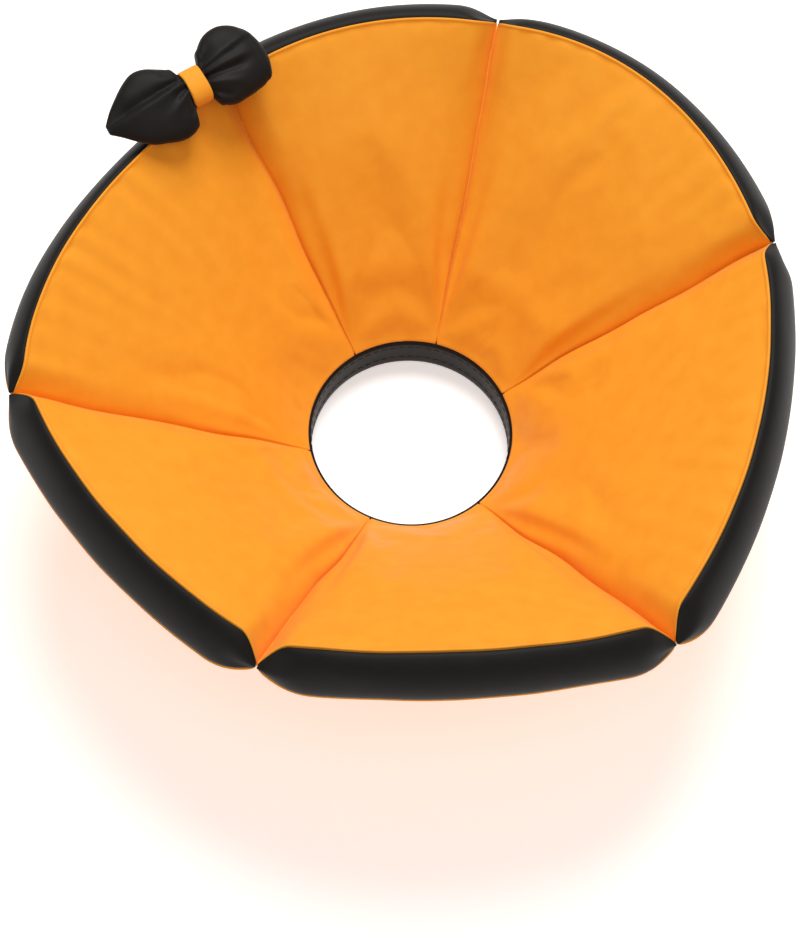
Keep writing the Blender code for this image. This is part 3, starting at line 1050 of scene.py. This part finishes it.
@dataclass
class Bow:
    """The black bow and its orange knot, sewn over the rim beside a seam.

    The rows give each wing's share of its length, upper and lower half width and half thickness.
    """

    seam: Seam = SEAMS[2]
    lean: float = math.radians(17)
    turn: float = math.radians(-1)
    length: float = 0.042
    half_width: float = 0.0195
    half_thickness: float = 0.0070
    waist_half_width: float = 0.0070
    waist_half_thickness: float = 0.0048
    knot_width: float = 0.010
    knot_wall: float = 0.0016
    points_round: int = 96
    sections: int = 56
    left_rows: tuple = (
        (0.119, 0.359, 0.359, 0.686),
        (0.15, 0.58, 0.76, 0.80),
        (0.21, 0.67, 0.92, 0.92),
        (0.30, 0.78, 1.00, 1.00),
        (0.43, 0.92, 1.00, 1.00),
        (0.57, 0.95, 0.90, 0.96),
        (0.72, 0.81, 0.78, 0.84),
        (0.86, 0.60, 0.55, 0.66),
        (1.00, 0.35, 0.27, 0.46),
        (1.10, 0.12, 0.10, 0.24),
    )
    right_rows: tuple = (
        (0.119, 0.359, 0.359, 0.686),
        (0.15, 0.62, 0.62, 0.80),
        (0.21, 0.76, 0.72, 0.92),
        (0.31, 0.94, 0.81, 1.00),
        (0.45, 1.04, 0.80, 1.00),
        (0.60, 1.00, 0.76, 0.96),
        (0.74, 0.80, 0.68, 0.82),
        (0.84, 0.50, 0.52, 0.58),
        (0.885, 0.20, 0.24, 0.30),
    )
    left_folds: tuple[Fold, ...] = (
        Fold((-4.0, 5.2), (-46.0, 1.6), -2.4, 4.2, 0.9),
        Fold((-4.0, 3.6), (-44.0, -0.6), 1.3, 0.9, 5.0),
        Fold((-3.0, 1.5), (-13.0, -1.5), -1.6, 1.2, 1.4),
        Fold((-4.0, -0.5), (-20.0, -9.0), 0.9, 1.4, 3.0),
        Fold((-2.5, -2.5), (-9.0, -13.0), -1.7, 1.6, 1.6),
        Fold((-4.0, 7.0), (-14.0, 11.5), -1.0, 1.6, 2.0),
    )
    right_folds: tuple[Fold, ...] = (
        Fold((4.0, 4.6), (36.0, 11.4), 1.6, 4.5, 1.1),
        Fold((4.0, 2.4), (30.0, 1.8), 1.3, 2.6, 1.2),
        Fold((4.0, 0.8), (26.0, -1.5), -1.6, 1.6, 1.6),
        Fold((4.0, -1.6), (21.0, -9.0), 1.2, 1.8, 2.6),
        Fold((4.0, -5.0), (14.0, -13.0), -1.3, 1.5, 2.0),
        Fold((4.0, 6.6), (15.0, 14.5), -0.9, 2.0, 2.0),
    )

    def build(self, cloth: bpy.types.Material, knot_cloth: bpy.types.Material) -> None:
        """Makes the wings and the knot.

        Args:
            cloth: The black cloth.
            knot_cloth: The orange cloth.
        """
        wings = np.concatenate((self._wing(Wing.LEFT)[::-1], self._wing(Wing.RIGHT)))
        coords = wings[..., :2].copy()
        bow = Meshes.closed_tube("bow_wings", self._placed(wings), coords)
        Meshes.smooth(bow)
        Meshes.finish(bow, cloth, Slot.BLACK, ("bow",), fill=0.4)
        knot = self._knot()
        Meshes.smooth(knot)
        Meshes.finish(knot, knot_cloth, Slot.ORANGE, ("bow_knot",), fill=0.2)

    def _placed(self, points: np.ndarray) -> np.ndarray:
        """Returns points given along, across and out of the bow in the collar's frame."""
        rim = self.seam.points(1.0)
        outward = unit(rim - self.seam.points(0.0))
        facing = CONE.normals(rim) * math.cos(self.lean) + outward * math.sin(self.lean)
        facing = unit(facing)
        sideways = unit(np.cross(outward, facing))
        upward = np.cross(facing, sideways)
        along = sideways * math.cos(self.turn) + upward * math.sin(self.turn)
        place = Meshes.points(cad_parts["bow_knot"].data)
        centre = (place.min(axis=0) + place.max(axis=0)) / 2
        return centre + points @ np.stack((along, np.cross(facing, along), facing))

    def _wing(self, wing: Wing) -> np.ndarray:
        """Returns one wing's sections, from the knot outwards."""
        rows = np.array(self.left_rows if wing is Wing.LEFT else self.right_rows)
        folds = self.left_folds if wing is Wing.LEFT else self.right_folds
        steps = np.linspace(0, 1, self.sections) ** 0.9
        along = mix(rows[0, 0], rows[-1, 0], steps)
        upper, lower, thick = (smooth_rows(along, rows[:, 0], rows[:, i]) for i in (1, 2, 3))
        angle = np.linspace(0, math.tau, self.points_round + 1)[:-1]
        side, height = np.cos(angle), np.sin(angle)
        width = np.where(side > 0, upper[:, None], lower[:, None]) * self.half_width
        x = np.broadcast_to(along[:, None] * self.length * wing.value, width.shape)
        y = side * width
        full = np.sign(height) * np.abs(height) ** 0.85 * thick[:, None] * self.half_thickness
        relief = sum(fold.relief(x, y) for fold in folds)
        relief = relief + 0.5 * MM * uneven(x * 110, y * 110, 4.2 + wing.value)
        out = full + relief * np.abs(height) ** 1.2 * np.where(height > 0, 1, -0.5)
        return np.stack((x, y, out), axis=-1)

    def _knot(self) -> bpy.types.Object:
        """Returns the knot, a folded band wrapped round the waist."""
        turns = np.linspace(0, math.tau, 121)[:-1]
        half = self.knot_width / 2
        profile = [(-1.0, 0.35), (-0.98, 0.8), (-0.86, 1.0)]
        profile += [(s, 1.06 - 0.10 * s * s) for s in np.linspace(-0.7, 0.7, 13)]
        profile += [(0.86, 1.0), (0.98, 0.8), (1.0, 0.35)]
        profile += [(s, 0.0) for s in (0.95, 0.3, -0.3, -0.95)]
        grid = np.empty((len(turns), len(profile), 3))
        for i, turn in enumerate(turns):
            side, height = math.cos(turn), math.sin(turn)
            inner = np.array((side * (self.waist_half_width + 0.0003), self._boxy(height)))
            pull = 1 - 0.10 * bump(turn - 4.4, 1.1) - 0.05 * bump(turn - 1.2, 0.6)
            for j, (share, rise) in enumerate(profile):
                crease = 0.16 * math.sin(turn * 5 + share * 2.3)
                crease *= noise.noise((share * 1.6, turn * 1.1, 1.3))
                lift = self.knot_wall * rise * (1 + (crease if 0.9 < rise else 0.0))
                grid[i, j] = (share * half * pull, *(inner + np.array((side, height)) * lift))
        around = np.broadcast_to((turns * self.waist_half_width)[:, None], grid.shape[:2])
        coords = np.stack((around, grid[..., 0]), axis=-1)
        return Meshes.ring("bow_knot_band", self._placed(grid), coords)

    def _boxy(self, height: float) -> float:
        """Returns the waist's height out of the bow, a little fuller than an oval."""
        return math.copysign(abs(height) ** 0.8, height) * (self.waist_half_thickness + 0.0003)


def smooth_rows(at: np.ndarray, places: np.ndarray, values: np.ndarray) -> np.ndarray:
    """Returns values between given rows on one smooth curve through them."""
    slopes = np.gradient(values, places)
    index = np.clip(np.searchsorted(places, at, side="right") - 1, 0, len(places) - 2)
    span = places[index + 1] - places[index]
    share = (at - places[index]) / span
    rest = 1 - share
    start = values[index] * (1 + 2 * share) + slopes[index] * span * share
    end = values[index + 1] * (1 + 2 * rest) - slopes[index + 1] * span * rest
    return start * rest * rest + end * share * share


# Studio


@dataclass
class Studio:
    """The floor, the lights and the camera, which stands where the photograph was taken from.

    The camera's place is given from the middle of the rim: how far it leans from straight above,
    its small turns, and how far the rim's middle lies off the picture's centre.
    """

    tilt_deg: float = 24.0
    roll_deg: float = -3.08
    aside: float = 0.0071
    above: float = 0.058
    distance: float = 1.169
    focal_pixels: float = 2600.0
    picture_height: float = 948.0
    sensor: float = 36.0
    floor_half: float = 6.0

    def build(self) -> None:
        """Makes the floor, the lights and the camera."""
        self._floor()
        self._lights()
        self._camera()

    def _floor(self) -> None:
        """Lays the paper that the collar stands on."""
        mesh = bpy.data.meshes.new("floor_paper")
        half = self.floor_half
        corners = [(-half, -half, 0), (half, -half, 0), (half, half, 0), (-half, half, 0)]
        mesh.from_pydata(corners, [], [(0, 1, 2, 3)])
        mesh.materials.append(StudioPaper().material())
        placed("floor_paper", mesh)

    def _lights(self) -> None:
        """Hangs a large soft key light, a fill and a plain bright surround."""
        lights = (
            ("key_light", (0.05, 0.95, 1.75), 1.1, 29.0),
            ("fill_light", (0.2, -0.9, 2.0), 1.6, 9.0),
        )
        target = Vector((0, 0, CONE.rim_height * 0.6))
        for name, place, size, power in lights:
            data = bpy.data.lights.new(name, "AREA")
            data.shape = "DISK"
            data.size = size
            data.energy = power
            light = placed(name, data)
            light.location = place
            light.rotation_mode = "QUATERNION"
            light.rotation_quaternion = (target - Vector(place)).to_track_quat("-Z", "Y")
        world = bpy.data.worlds.new("studio")
        world.use_nodes = True
        background = world.node_tree.nodes["Background"]
        background.inputs["Color"].default_value = (1.0, 0.95, 0.90, 1.0)
        background.inputs["Strength"].default_value = 0.34
        scene = bpy.context.scene
        scene.world = world
        scene.view_settings.view_transform = "Standard"

    def _camera(self) -> None:
        """Places the camera."""
        data = bpy.data.cameras.new("camera")
        data.lens = self.focal_pixels / self.picture_height * self.sensor
        data.sensor_width = self.sensor
        camera = placed("camera", data)
        roll = Matrix.Rotation(math.radians(self.roll_deg), 3, "Z")
        turned = roll @ Matrix.Rotation(math.radians(-self.tilt_deg), 3, "X")
        offset = Vector((self.aside, self.above, -self.distance))
        rim = Vector((0, 0, CONE.rim_height))
        back = turned.transposed()
        camera.matrix_world = Matrix.Translation(rim - back @ offset) @ back.to_4x4()
        bpy.context.scene.camera = camera


def main() -> None:
    """Builds and dresses the whole collar."""
    logging.basicConfig(level=logging.INFO, format="%(name)s: %(message)s")
    Studio().build()
    orange, black = ORANGE.material(), BLACK.material()
    for panel in PANELS:
        panel.build_cover(orange)
        panel.build_strip(black)
    SeamAllowances().build(orange)
    NeckBinding().build(black, BLACK_THREAD.material())
    Bow().build(black, orange)


if __name__ == "__main__":
    main()
